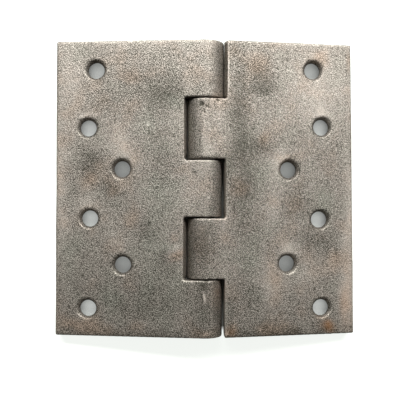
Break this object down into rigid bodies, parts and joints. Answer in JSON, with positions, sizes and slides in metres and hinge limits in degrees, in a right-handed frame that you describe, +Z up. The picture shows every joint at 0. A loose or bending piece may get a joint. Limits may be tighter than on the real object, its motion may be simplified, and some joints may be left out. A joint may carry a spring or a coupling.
{
  "type": "butt hinge",
  "caption": "Cast-iron butt hinge with interleaved knuckles on a riveted pin and countersunk screw holes in both leaves.",
  "frame": {"origin": "on the surface that the hinge lies on, under the middle of the barrel", "axes": "+Y along the pin, +X towards the outer edge of the two-knuckle leaf, +Z up"},
  "size_m": [0.1045, 0.1025, 0.0125],
  "materials": {
    "cast_iron": "bare, shot-blasted cast iron, unevenly grey-brown",
    "pin_steel": "dull bare steel, ends riveted over"
  },
  "bodies": {
    "fixed_leaf": {"three_knuckle_leaf": "cast_iron", "hinge_pin": "pin_steel"},
    "swinging_leaf": {"two_knuckle_leaf": "cast_iron"}
  },
  "joints": [
    {"name": "pin_turn", "type": "hinge", "parent": "fixed_leaf", "child": "swinging_leaf", "pos_m": [0, 0, 0.00625], "axis": [0, 1, 0], "range_deg": [-98, 164.3]}
  ]
}
